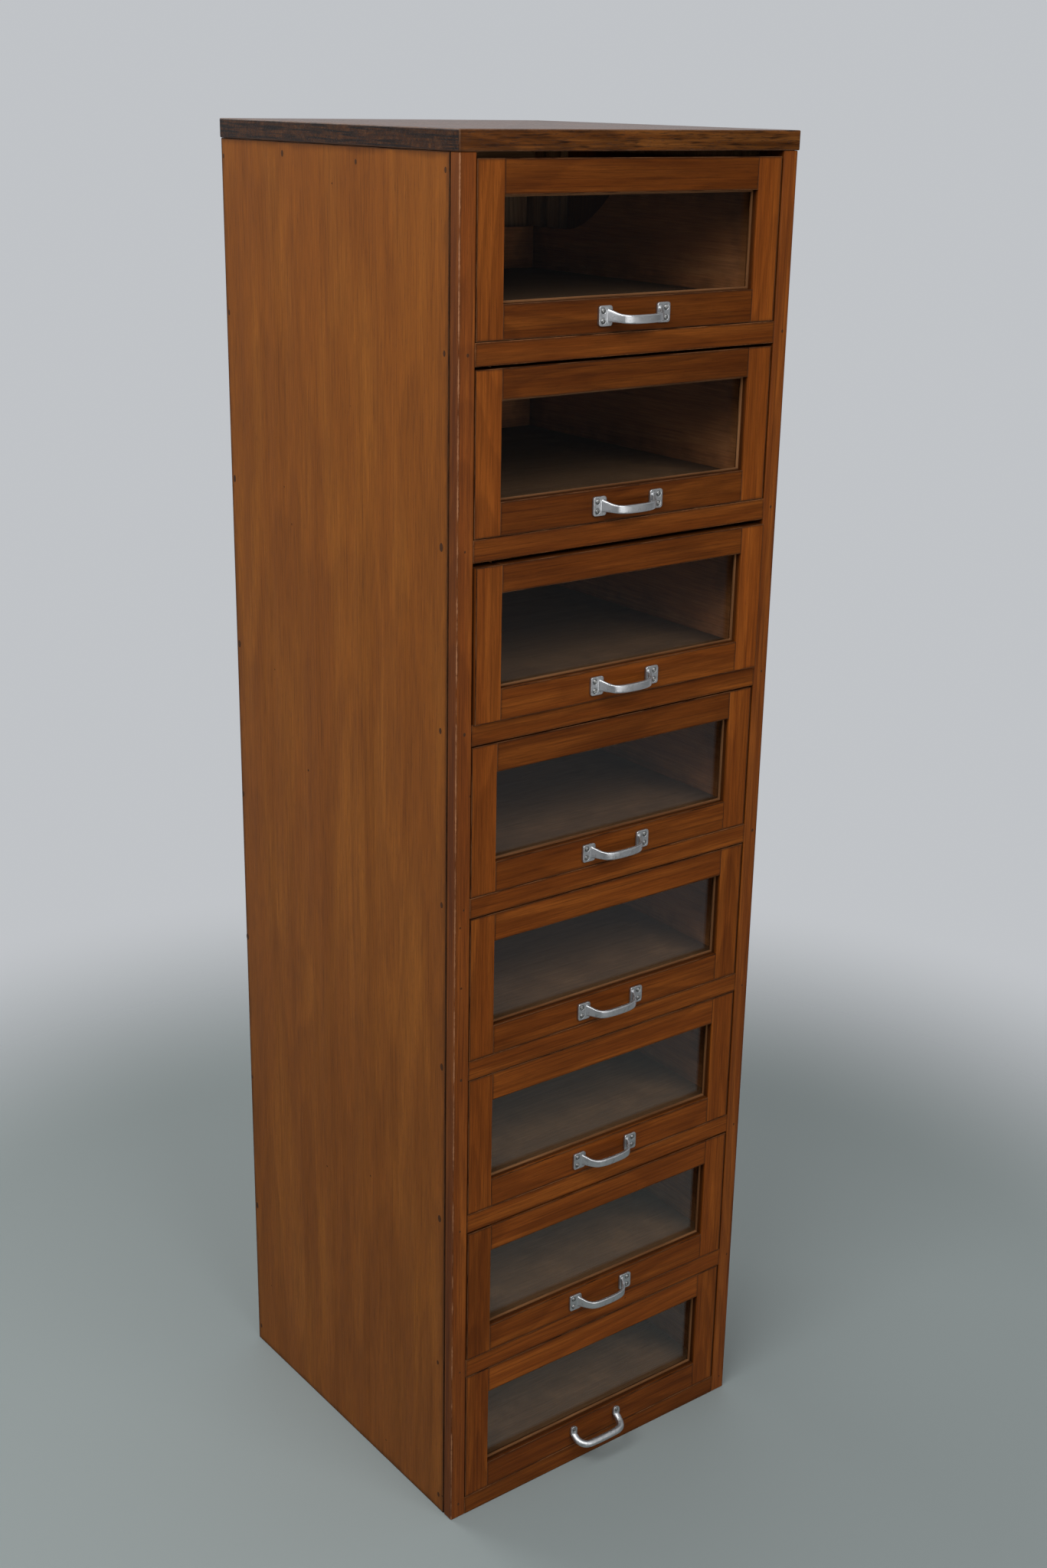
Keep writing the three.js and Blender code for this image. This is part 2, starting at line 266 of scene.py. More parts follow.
def new_group(name, inputs, outputs, sort="ShaderNodeTree"):
    """An empty group with named inputs, each with its kind and usual value, and named outputs."""
    tree = bpy.data.node_groups.new(name, sort)
    for label, (kind, usual) in inputs.items():
        socket = tree.interface.new_socket(name=label, in_out="INPUT", socket_type="NodeSocket" + kind)
        if usual is not None:
            socket.default_value = usual
    for label, kind in outputs.items():
        tree.interface.new_socket(name=label, in_out="OUTPUT", socket_type="NodeSocket" + kind)
    return tree, tree.nodes.new("NodeGroupInput").outputs, tree.nodes.new("NodeGroupOutput")


# Streaks, growth arches, fibres and pores of a sawn board, from its place in its own board. Each
# size is a length along the grain and a width across it.
fine_streak_size = (0.20, 0.0026)
sway_size = (0.60, 0.07)
fibre_size = (0.040, 0.0013)
pore_size = (0.009, 0.0006)
cloud_length = 0.34
end_ring_size = (1.0, 0.07, 0.0024)
pore_start, pore_end = 0.60, 0.72
grain_group, given, result = new_group(
    "Timber grain",
    {
        "Place": ("Vector", None), "Tone": ("Float", None), "Ground": ("Color", front_ground),
        "Light": ("Color", front_light), "Dark": ("Color", front_dark),
        "Streak length": ("Float", 0.5), "Streak width": ("Float", 0.010), "Streaks": ("Float", 0.5),
        "Fine streaks": ("Float", 0.35), "Cloud width": ("Float", 0.05), "Clouds": ("Float", 0.7),
        "Arch": ("Float", 0.9), "Ring width": ("Float", 0.004), "Rings": ("Float", 0.25),
        "Sway": ("Float", 0.035), "Pores": ("Float", 0.3), "Shade": ("Float", 0.3),
        "End grain": ("Float", None),
    },
    {"Color": "Color", "Height": "Float", "Shine": "Float"},
)
shift = vector_of("MULTIPLY", given["Tone"], (31.0, 17.0, 43.0))
start = vector_of("ADD", given["Place"], shift)


def stretched(length, width):
    """The board's coordinates divided by a length along the grain and a width across it."""
    size = out(grain_group, "ShaderNodeCombineXYZ", {0: length, 1: width, 2: width})
    return vector_of("DIVIDE", start, size)


streak = noise(stretched(given["Streak length"], given["Streak width"]), 2.0, 0.45, 0.25)
fine = noise(stretched(*fine_streak_size), 2.0, 0.5, 0.2)
cloud = noise(stretched(cloud_length, given["Cloud width"]), 2.0, 0.5, 0.5)
sway = noise(stretched(*sway_size), 1.0, 0.4)
fibre = noise(stretched(*fibre_size), 2.0, 0.6)
pore = noise(stretched(*pore_size), 1.0)
pore = ease(pore, pore_start, pore_end)
end_ring = noise(vector_of("DIVIDE", start, end_ring_size), 2.0, 0.5, 0.6)
from_heart = parts_of(given["Place"])
spread = times(times(from_heart[1], from_heart[1]), given["Arch"])
growth = math_of("MULTIPLY_ADD", from_heart[0], 0.02, spread)
growth = math_of("MULTIPLY_ADD", sway, given["Sway"], growth)
ring = math_of("FRACT", math_of("DIVIDE", growth, given["Ring width"]))
late = times(ease(ring, 0.05, 0.8), ease(ring, 0.85, 1.0, 1.0, 0.0))
pale = times(ease(cloud, 0.40, 0.70), given["Clouds"])
colour = blend_colours(pale, given["Ground"], given["Light"])
for mark, amount in (
    (ease(streak, 0.48, 0.78), given["Streaks"]),
    (ease(fine, 0.48, 0.75), given["Fine streaks"]),
    (late, given["Rings"]),
    (pore, given["Pores"]),
    (ease(end_ring, 0.42, 0.62), given["End grain"]),
):
    colour = blend_colours(times(mark, amount), colour, given["Dark"])
shade = math_of("MULTIPLY_ADD", math_of("SUBTRACT", given["Tone"], 0.5), given["Shade"], 1.0)
level = times(shade, math_of("MULTIPLY_ADD", fibre, 1.0, 0.5))
level = times(level, math_of("MULTIPLY_ADD", given["End grain"], -0.5, 1.0))
colour = blend_colours(1.0, colour, triple(level, level, level), "MULTIPLY")
feed(result, {
    "Color": colour, "Height": math_of("SUBTRACT", fibre, pore),
    "Shine": math_of("MULTIPLY_ADD", streak, 0.6, times(cloud, 0.4)),
})

# Age on a board: arrises painted pale as rubbed wear, on some pieces as a painted highlight too; dirt
# gathered along its edges; small dark dings; and painted shade, partly dirt as well, on faces set back
# behind a drawer's face. Scales are in marks to the metre.
patch_scale = 24.0
nibble_scale = 260.0
ding_scale = 26.0
thinnest = 1e-5
recess_shade_start, recess_shade_end = 0.0004, 0.0045
age_and_shade_group, given, result = new_group(
    "Handled edges and recess shade",
    {
        "Color": ("Color", None), "Place": ("Vector", None), "Reach": ("Vector", None),
        "Tone": ("Float", None), "Behind": ("Float", None), "Recess shade": ("Float", 0.75),
        "Worn color": ("Color", pale_arris_colour), "Wear width": ("Float", 0.001), "Wear": ("Float", 0.5),
        "Grime color": ("Color", grime_and_shade_colour), "Grime width": ("Float", 0.008), "Grime": ("Float", 0.5),
        "Line width": ("Float", 0.0005), "Line": ("Float", 0.8), "Dings": ("Float", 0.6),
    },
    {"Color": "Color", "Worn": "Float", "Dirt": "Float"},
)
from_middle = vector_of("ABSOLUTE", given["Place"])
inset = parts_of(vector_of("SUBTRACT", given["Reach"], from_middle))
nearer = math_of("MINIMUM", inset[0], inset[1])
farther = math_of("MAXIMUM", inset[0], inset[1])
distance = math_of("MAXIMUM", nearer, math_of("MINIMUM", farther, inset[2]))
shift = vector_of("MULTIPLY", given["Tone"], (13.0, 29.0, 7.0))
start = vector_of("ADD", given["Place"], shift)
patch = noise(start, 3.0, 0.6, 0.0, patch_scale)
nibble = noise(start, 3.0, 0.7, 0.0, nibble_scale)


def ragged(width, mark, contrast, least):
    """Each place's distance from the edge as a share of a width that a noise makes uneven."""
    uneven = times(width, math_of("MULTIPLY_ADD", mark, contrast, least))
    return math_of("DIVIDE", distance, math_of("MAXIMUM", uneven, thinnest))


pale_arris_mask = ease(ragged(given["Wear width"], nibble, 2.4, -0.2), 0.55, 1.0, 1.0, 0.0)
pale_arris_mask = times(pale_arris_mask, ease(patch, 0.34, 0.6))
pale_arris_mask = times(pale_arris_mask, given["Wear"], clamp=True)
dirt_and_shade = ease(ragged(given["Grime width"], patch, 2.4, -0.2), 0.0, 1.0, 1.0, 0.0)
dirt_and_shade = math_of("POWER", dirt_and_shade, 1.5)
dirt_and_shade = times(dirt_and_shade, given["Grime"], clamp=True)
crack = ease(ragged(given["Line width"], nibble, 1.6, 0.2), 0.6, 1.2, 1.0, 0.0)
crack = times(crack, given["Line"])
cell = put(age_and_shade_group, "ShaderNodeTexVoronoi", {"Vector": start, "Scale": ding_scale})
chance = parts_of(cell.outputs["Color"])
pit = ease(cell.outputs["Distance"], 0.025, 0.05, 1.0, 0.0)
pit = times(pit, ease(chance[0], 0.72, 0.8))
pit = times(pit, given["Dings"])
# Faces set back behind the drawer's face are painted darker: painted shade, partly dirt as well.
recess_shade = ease(given["Behind"], recess_shade_start, recess_shade_end)
recess_shade = times(recess_shade, given["Recess shade"])
for mark in (crack, pit, recess_shade):
    dirt_and_shade = math_of("MAXIMUM", dirt_and_shade, mark)
colour = blend_colours(dirt_and_shade, given["Color"], given["Grime color"])
colour = blend_colours(pale_arris_mask, colour, given["Worn color"])
feed(result, {"Color": colour, "Worn": pale_arris_mask, "Dirt": dirt_and_shade})


def new_material(name):
    """A material, its tree and its Principled shader."""
    material = bpy.data.materials.new(name)
    material.use_nodes = True
    return material, material.node_tree, material.node_tree.nodes["Principled BSDF"]


def raise_surface(tree, shader, height, strength, relief):
    """Fine relief that is too small for geometry."""
    values = {"Height": height, "Strength": strength, "Distance": relief}
    feed(shader, {"Normal": out(tree, "ShaderNodeBump", values)})


def wood_finish(name, grain, age, roughness, sheen, relief=0.00006):
    """A varnished wood: the grain group, the group of age and painted recess shade, and one Principled
    shader.
    """
    material, tree, shader = new_material(name)
    stored = {
        label: put(tree, "ShaderNodeAttribute", attribute_name=label).outputs
        for label in ("place", "reach", "tone", "end_grain", "behind")
    }
    shared = {"Place": stored["place"]["Vector"], "Tone": stored["tone"]["Fac"]}
    timber = put(tree, "ShaderNodeGroup", {
        **shared, "End grain": stored["end_grain"]["Fac"], **grain,
    }, node_tree=grain_group)
    edges_and_shade = put(tree, "ShaderNodeGroup", {
        **shared, "Reach": stored["reach"]["Vector"], "Behind": stored["behind"]["Fac"],
        "Color": timber.outputs["Color"], **age,
    }, node_tree=age_and_shade_group)
    dull = math_of("MULTIPLY_ADD", timber.outputs["Shine"], 0.24, roughness - 0.12)
    dull = math_of("MULTIPLY_ADD", edges_and_shade.outputs["Worn"], 0.2, dull)
    dull = math_of("MULTIPLY_ADD", edges_and_shade.outputs["Dirt"], 0.15, dull, clamp=True)
    feed(shader, {"Base Color": edges_and_shade.outputs["Color"], "Roughness": dull, "Specular IOR Level": sheen})
    raise_surface(tree, shader, timber.outputs["Height"], 0.5, relief)
    return material


# The left post's arris is painted far paler than the right's: rubbed wear and a painted highlight.
post_woods = [
    wood_finish(
        name, {"Streak width": 0.0045, "Streaks": 0.35, "Fine streaks": 0.5, "Cloud width": 0.012,
               "Shade": 0.2},
        {"Wear width": 0.0013, "Wear": wear_and_highlight, "Worn color": (0.33, 0.155, 0.075, 1),
         "Grime width": 0.004, "Line width": 0.0003, "Dings": 0.8, "Recess shade": 0.35},
        roughness=0.46, sheen=0.1,
    )
    for name, wear_and_highlight in (("Varnished left post", 0.65), ("Varnished right post", 0.15))
]


def new_growth(name, inputs):
    """An empty Geometry Nodes tree with named sizes, which grows on the points it is given."""
    kinds = {"Geometry": "Geometry", **inputs, "Finish": "Material"}
    return new_group(
        name, {label: (kind, None) for label, kind in kinds.items()}, {"Geometry": "Geometry"},
        "GeometryNodeTree",
    )


def end_growth(geometry, given, result):
    """Makes the instances of a tree real and gives them their material."""
    real = follow("GeometryNodeRealizeInstances", {"Geometry": geometry})
    painted = follow("GeometryNodeSetMaterial", {"Geometry": real, "Material": given["Finish"]})
    feed(result, {"Geometry": painted})


# Dark plugs over nail heads and pegs: low, uneven lenses pressed into the wood
marks_tree, given, result = new_growth("Pressed marks", {
    "Radius": "Float", "Stretch": "Float", "Rise": "Float", "Turn": "Vector", "Seed": "Int",
})
ball = out(marks_tree, "GeometryNodeMeshUVSphere", {"Segments": 16, "Rings": 8, "Radius": 1.0})
lens_size = triple(given["Radius"], times(given["Radius"], given["Stretch"]), given["Rise"])
lens = follow("GeometryNodeTransform", {"Geometry": ball, "Scale": lens_size})
size_dice = put(
    marks_tree, "FunctionNodeRandomValue", {2: 0.65, 3: 1.25, "Seed": given["Seed"]}, data_type="FLOAT",
)
dots = follow("GeometryNodeInstanceOnPoints", {
    "Points": given["Geometry"], "Instance": lens, "Rotation": given["Turn"],
    "Scale": size_dice.outputs[1],
})
end_growth(dots, given, result)


def grown(name, tree, points, values, edges=()):
    """A plain mesh grown by a Geometry Nodes tree on points, with the tree's inputs set by name."""
    mesh = bpy.data.meshes.new(name)
    mesh.from_pydata([tuple(point) for point in points], edges, [])
    piece = add_object(name, mesh)
    growth = piece.modifiers.new("Growth", "NODES")
    growth.node_group = tree
    for item in tree.interface.items_tree:
        if item.item_type == "SOCKET" and item.in_out == "INPUT" and item.name in values:
            growth[item.identifier] = values[item.name]
    settle(piece)
    return piece


def settle(piece):
    """Makes a piece's modifiers final."""
    graph = bpy.context.evaluated_depsgraph_get()
    mesh = bpy.data.meshes.new_from_object(
        piece.evaluated_get(graph), preserve_all_data_layers=True, depsgraph=graph,
    )
    piece.modifiers.clear()
    piece.data = mesh


def grown_shape(name, tree, points, values, edges=()):
    """The same as a shape, to be worked on before it becomes a piece."""
    piece = grown(name, tree, points, values, edges)
    shape = bmesh.new()
    shape.from_mesh(piece.data)
    bpy.data.objects.remove(piece)
    return shape


filler, tree, shader = new_material("Dark stopping")
crumb = noise(put(tree, "ShaderNodeTexCoord").outputs["Object"], 3.0, 0.6, 0.0, 900.0)
filler_colour = blend_colours(crumb, (0.018, 0.007, 0.003, 1), (0.080, 0.032, 0.012, 1))
filler_roughness = ease(crumb, 0.2, 0.8, 0.5, 0.8)
feed(shader, {"Base Color": filler_colour, "Roughness": filler_roughness, "Specular IOR Level": 0.1})


def pressed_marks(name, points, turn, radius, stretch, seed):
    piece = grown(name, marks_tree, points, {
        "Radius": radius, "Stretch": stretch, "Rise": 0.00014, "Turn": turn, "Seed": seed, "Finish": filler,
    })
    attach(piece, "carcass")


facing_front = (math.pi / 2, 0, 0)
for side, sign in (("left", -1), ("right", 1)):
    node = "front_post_" + side
    low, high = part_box(node)
    spare_low = (-post_spare * (sign > 0), 0, -post_end_spare)
    spare_high = (post_spare * (sign < 0), 0, post_end_spare)
    wooden_piece(
        side + "_post", softened(node, post_arris, 3), [board(low, high, "Z", spare_low, spare_high)],
        "carcass", post_woods[sign > 0], [node], tones=[0.9 if sign < 0 else 0.7], face=low.y,
    )
    # A hand sets each peg a little off its line
    across = low.x + peg_inset_left if sign < 0 else high.x - peg_inset_right
    spots = [(across + 0.0011 * math.sin(9 * z), low.y - skin, z + 0.002 * math.cos(37 * z))
             for z in peg_levels]
    pressed_marks(
        side + "_post_pegs", spots, facing_front, radius=0.0015, stretch=1.3, seed=5 + sign,
    )


# Cross rails: one under each drawer but the lowest, and a taller one at the floor, tenoned between
# the posts. Their top arrises are worn by the drawers and their edges are dirty. The cross rails grow
# paler down the case, and the floor rail is painted darker, partly dirt and partly painted shade near
# the floor.
rail_arris = 0.0006
rail_wood = wood_finish(
    "Varnished rail wood",
    {"Streak length": 0.3, "Streak width": 0.0050, "Streaks": 0.35, "Fine streaks": 0.5,
     "Cloud width": 0.018, "Shade": 0.4},
    {"Wear width": 0.0008, "Wear": 0.35, "Grime width": 0.004, "Grime": 0.6},
    roughness=0.42, sheen=0.06,
)
# The floor rail's darker tone is partly dirt and partly painted shade.
for number in range(1, 9):
    node = "bottom_rail" if number == 8 else f"drawer_rail_{number}"
    name = "floor_rail" if number == 8 else f"cross_rail_{number}"
    wooden_piece(
        name, softened(node, rail_arris), [one_board(node, "X")], "carcass", rail_wood,
        [node], tones=[-0.2 if number == 8 else 0.14 * number - 0.2],
    )


# Side panels: honey-brown boards with a long straight figure, nailed to the posts at each rail.
# Their nail holes are stopped with dark wax, and a dark line shows along the gap to the post.
panel_arris = 0.0009
nail_levels = [1.628, 1.448, 1.245, 1.040, 0.834, 0.630, 0.425, 0.219, 0.022]
front_nail_inset = 0.0100
back_nail_inset = 0.0050
# How far behind the front edge, and how far below the top edge
top_nails = [(0.172, 0.0162), (0.323, 0.0128)]
facing_side = (math.pi / 2, 0, math.pi / 2)
panel_wood = wood_finish(
    "Varnished panel wood",
    {
        "Ground": (0.190, 0.0570, 0.0065, 1), "Light": (0.265, 0.0900, 0.0125, 1),
        "Dark": (0.105, 0.0300, 0.0036, 1), "Streak length": 0.8, "Streak width": 0.020, "Streaks": 0.30,
        "Fine streaks": 0.42, "Cloud width": 0.060, "Clouds": 0.6, "Arch": 0.7, "Ring width": 0.0075,
        "Rings": 0.26, "Pores": 0.5, "Shade": 0.1,
    },
    {"Wear": 0.12, "Grime width": 0.010, "Line width": 0.0016, "Line": 0.95, "Dings": 0.9},
    roughness=0.5, sheen=0.1,
)
for side, sign in (("left", -1), ("right", 1)):
    node = "side_panel_" + side
    wooden_piece(
        side + "_side", softened(node, panel_arris), [one_board(node, "Z")], "carcass",
        panel_wood, [node], seed=40 + sign,
    )
    low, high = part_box(node)
    face = low.x - skin if sign < 0 else high.x + skin
    spots = [(face, low.y + front_nail_inset + 0.003 * math.sin(7 * z), z) for z in nail_levels]
    spots += [(face, high.y - back_nail_inset - 0.002 * math.cos(5 * z), z + 0.003 * math.sin(11 * z))
              for z in nail_levels]
    spots += [(face, low.y + behind, high.z - below) for behind, below in top_nails]
    pressed_marks(
        side + "_side_nails", spots, facing_side, radius=0.0026, stretch=1.5, seed=9 + sign,
    )


# Back: a thin panel between the sides, with two posts and two rails of plain timber before it.
plain_arris = 0.0005
back_wood = wood_finish(
    "Unpolished back wood",
    {
        "Ground": (0.350, 0.185, 0.088, 1), "Light": (0.460, 0.275, 0.145, 1),
        "Dark": (0.180, 0.086, 0.040, 1), "Streak width": 0.012, "Rings": 0.5, "Arch": 1.4, "Shade": 0.25,
    },
    {"Wear": 0.15, "Grime width": 0.02, "Dings": 0.8},
    roughness=0.72, sheen=0.2, relief=0.0001,
)
for node, grain, name in (
    ("back_panel", "Z", "back_board"), ("rear_post_left", "Z", "left_rear_post"),
    ("rear_post_right", "Z", "right_rear_post"), ("rear_bottom_rail", "X", "rear_floor_rail"),
    ("rear_top_rail", "X", "rear_head_rail"),
):
    wooden_piece(
        name, softened(node, plain_arris), [one_board(node, grain)], "carcass", back_wood,
        [node], seed=len(name),
    )
low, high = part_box("back_panel")
brad_rows = 14
brad_end = 0.02
brad_inset = 0.009
spots = []
for height in np.linspace(low.z + brad_end, high.z - brad_end, brad_rows):
    for edge in (low.x + brad_inset, high.x - brad_inset):
        spots.append((edge + 0.0015 * math.sin(13 * height + edge), high.y + skin, height))
facing_back = (-math.pi / 2, 0, 0)
pressed_marks("back_brads", spots, facing_back, radius=0.0015, stretch=1.0, seed=12)


# Runner ladders: inside each side panel two uprights and a batten carry a runner and a guide for
# every drawer. They are rubbed plain timber, housed together and screwed to the side.
drawer_pitch = 0.205
runner_levels = [0.025 + drawer_pitch * step for step in range(8)]
runner_reach = 0.0275
runner_height = 0.022
guide_height = 0.014
guide_reach = 0.0138
housing_gap = 0.0002
upright_depth = 0.030
upright_thickness = 0.012
ladder_tree, given, result = new_growth("Ladder rungs", {
    "Runner size": "Vector", "Guide size": "Vector", "Guide place": "Vector",
})
runner = follow("GeometryNodeMeshCube", {"Size": given["Runner size"]})
guide = follow("GeometryNodeMeshCube", {"Size": given["Guide size"]})
guide_on = follow("GeometryNodeTransform", {"Geometry": guide, "Translation": given["Guide place"]})
rung = ladder_tree.nodes.new("GeometryNodeJoinGeometry")
feed(rung, {0: runner})
feed(rung, {0: guide_on})
rungs = follow("GeometryNodeInstanceOnPoints", {"Points": given["Geometry"], "Instance": rung.outputs[0]})
end_growth(rungs, given, result)


def add_block(shape, low, high):
    """Adds a closed box between two corners to a shape."""
    made = bmesh.ops.create_cube(shape, size=1)["verts"]
    for vertex in made:
        vertex.co = Vector(b if c > 0 else a for a, b, c in zip(low, high, vertex.co))


runner_wood = wood_finish(
    "Rubbed runner wood",
    {
        "Ground": (0.380, 0.205, 0.100, 1), "Light": (0.500, 0.310, 0.17, 1),
        "Dark": (0.190, 0.090, 0.042, 1), "Streak width": 0.006, "Cloud width": 0.02,
    },
    {"Wear": 0.3, "Grime": 0.4},
    roughness=0.62, sheen=0.2, relief=0.0001,
)
for side, sign in (("left", -1), ("right", 1)):
    node = "runner_ladder_" + side
    low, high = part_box(node)
    outer = low.x if sign < 0 else high.x
    middle_y = (low.y + high.y) / 2
    run = high.y - low.y - 2 * housing_gap
    points = [(outer - sign * runner_reach / 2, middle_y, level - runner_height / 2)
              for level in runner_levels]
    shape = grown_shape(side + "_rungs", ladder_tree, points, {
        "Runner size": (runner_reach - housing_gap, run, runner_height),
        "Guide size": (guide_reach, run, guide_height),
        "Guide place": (sign * (runner_reach - guide_reach) / 2, 0, (runner_height + guide_height) / 2),
        "Finish": runner_wood,
    })
    inner = outer - sign * upright_thickness
    sides = sorted((outer, inner))
    uprights = [
        ((sides[0], low.y, low.z), (sides[1], low.y + upright_depth, high.z)),
        ((sides[0], high.y - upright_depth, low.z), (sides[1], high.y, high.z)),
        ((sides[0], low.y + upright_depth, high.z - upright_thickness),
         (sides[1], high.y - upright_depth, high.z)),
    ]
    for corner_low, corner_high in uprights:
        add_block(shape, corner_low, corner_high)
    soften(shape, plain_arris)
    boards = [board(corner_low, corner_high, "Z") for corner_low, corner_high in uprights]
    for level in runner_levels:
        for foot, head in ((level - runner_height, level), (level, level + guide_height)):
            boards.append(board((low.x, low.y, foot), (high.x, high.y, head), "Y"))
    wooden_piece(
        side + "_runners", shape, boards, "carcass", runner_wood, [node], seed=60 + sign,
    )


# Top board: a dark, close-to-black oak board with a soft gloss, laid over the case and pinned.
# The grain runs from side to side, so the left and right edges show end grain.
top_arris = 0.0014
top_wood = wood_finish(
    "Dark polished oak",
    {
        "Ground": (0.088, 0.0270, 0.0050, 1), "Light": (0.180, 0.0640, 0.0130, 1),
        "Dark": (0.010, 0.0032, 0.0010, 1), "Streak length": 0.030, "Streak width": 0.0028, "Streaks": 0.95,
        "Fine streaks": 0.5, "Cloud width": 0.006, "Rings": 0.4, "Pores": 0.7, "Shade": 0.0,
    },
    {"Wear width": 0.0014, "Wear": 0.3, "Worn color": (0.17, 0.085, 0.042, 1), "Grime width": 0.004,
     "Dings": 0.9},
    roughness=0.28, sheen=0.15, relief=0.00012,
)
wooden_piece(
    "dark_top", softened("top_board", top_arris, 3), [one_board("top_board", "X")], "carcass",
    top_wood, ["top_board"], seed=71,
)


# Drawer boxes: thin, dull sides that sweep down to a low back, so that a hand can reach over them,
# with a floor that slides in grooves and runs out under the back.
box_side = 0.009
box_back = 0.009
box_arris = 0.0004
floor_arris = 0.0003
box_wood = wood_finish(
    "Dull drawer wood",
    {
        "Ground": (0.270, 0.100, 0.034, 1), "Light": (0.330, 0.137, 0.051, 1),
        "Dark": (0.175, 0.062, 0.022, 1), "Cloud width": 0.03, "Shade": 0.8,
    },
    {"Wear": 0.3, "Grime width": 0.07, "Grime": 0.65, "Dings": 0.5},
    roughness=0.66, sheen=0.1, relief=0.00009,
)
floor_wood = wood_finish(
    "Drawer floor with dust and painted light",
    {
        "Ground": (0.125, 0.064, 0.030, 1), "Light": (0.150, 0.082, 0.041, 1),
        "Dark": (0.085, 0.039, 0.018, 1), "Clouds": 0.2, "Shade": 1.2, "Streaks": 0.25,
        "Fine streaks": 0.2, "Rings": 0.1,
    },
    {"Wear": 0.1, "Grime width": 0.12, "Dings": 0.5},
    roughness=0.8, sheen=0.1, relief=0.00009,
)
for number in range(1, 9):
    drawer = f"drawer_{number}"
    node = drawer + "_box"
    low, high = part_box(node)
    boards = [
        board(low, (low.x + box_side, high.y, high.z), "Y"),
        board((high.x - box_side, low.y, low.z), high, "Y"),
        board((low.x, high.y - box_back, low.z), high, "X"),
    ]
    # The right sides grow darker down the case, and the backs are painted far paler: painted light for the
    # light that falls on them through the glass
    wooden_piece(
        drawer + "_sides", softened(node, box_arris), boards, drawer, box_wood, [node],
        tones=[0.5, 1.1 - 0.05 * number, 2.3],
    )
    # The floors are painted darker in the upper drawers and paler in the lower ones: painted shade and
    # light for how much light reaches inside each drawer.
    node = drawer + "_floor"
    wooden_piece(
        drawer + "_bottom", softened(node, floor_arris), [one_board(node, "X")], drawer,
        floor_wood, [node], tones=[min(1.3, 0.18 * number)],
    )


# Drawer fronts: two stiles the full height with rails tenoned between them, framing the glass.
# A thin bead stands in the opening for the glass to lie against. Each board has its own colour.
stile_width = 0.0344
foot_rail = 0.0365
window_height = 0.1075
rebate_width = 0.0045
bead_width = 0.0024
bead_front = 0.0075
bead_back = 0.0105
tenon = 0.02
front_arris = 0.0004
# The window reveals and the faces along the gaps, set back behind the drawer's face, are painted darker:
# painted shade, partly dirt as well.
front_wood = wood_finish(
    "Varnished front wood",
    {"Streak length": 0.3, "Streak width": 0.0055, "Streaks": 0.3, "Fine streaks": 0.5,
     "Cloud width": 0.022, "Clouds": 0.6, "Rings": 0.3, "Shade": 0.45},
    {"Wear width": 0.0008, "Wear": 0.25, "Grime width": 0.004, "Line width": 0.0011, "Line": 0.9,
     "Dings": 0.4},
    roughness=0.40, sheen=0.06,
)
# The bead's arrises are painted pale: rubbed wear, and painted highlights where the light catches its
# edges.
bead_wood = wood_finish(
    "Rubbed bead wood with painted highlights",
    {"Ground": (0.13, 0.055, 0.020, 1), "Light": (0.21, 0.100, 0.042, 1), "Dark": (0.06, 0.022, 0.008, 1),
     "Streak width": 0.0030},
    {"Wear": 0.7, "Wear width": 0.0006, "Grime width": 0.0012, "Dings": 0.0},
    roughness=0.5, sheen=0.1,
)
bead_tree, given, result = new_growth("Glazing bead", {
    "Window width": "Float", "Window height": "Float", "Bead width": "Float", "Bead depth": "Float",
    "Middle": "Vector",
})
opening = follow("GeometryNodeCurvePrimitiveQuadrilateral", {
    "Width": math_of("SUBTRACT", given["Window width"], given["Bead width"]),
    "Height": math_of("SUBTRACT", given["Window height"], given["Bead width"]),
})
# A swept corner keeps its section's width, so the section is wider by the mitre's slant
section = follow("GeometryNodeCurvePrimitiveQuadrilateral", {
    "Width": times(given["Bead width"], math.sqrt(2)),
    "Height": given["Bead depth"],
})
bead = follow("GeometryNodeCurveToMesh", {"Curve": opening, "Profile Curve": section})
standing = follow("GeometryNodeTransform", {
    "Geometry": bead, "Translation": given["Middle"], "Rotation": facing_front,
})
end_growth(standing, given, result)


def add_tube(shape, rings):
    """Adds a closed tube through rings of points, with a cap at each end."""
    rings = [[shape.verts.new(point) for point in ring] for ring in rings]
    shape.faces.new(rings[0])
    shape.faces.new(rings[-1])
    for near, far in zip(rings, rings[1:]):
        for step in range(len(near)):
            after = (step + 1) % len(near)
            shape.faces.new((near[step], near[after], far[after], far[step]))


def add_bar(shape, outline, axis, start, end):
    """Adds a closed bar: an outline across an axis, run from start to end along it."""
    add_tube(shape, [
        [(a, b, along) if axis == "Z" else (along, a, b) for a, b in outline] for along in (start, end)
    ])


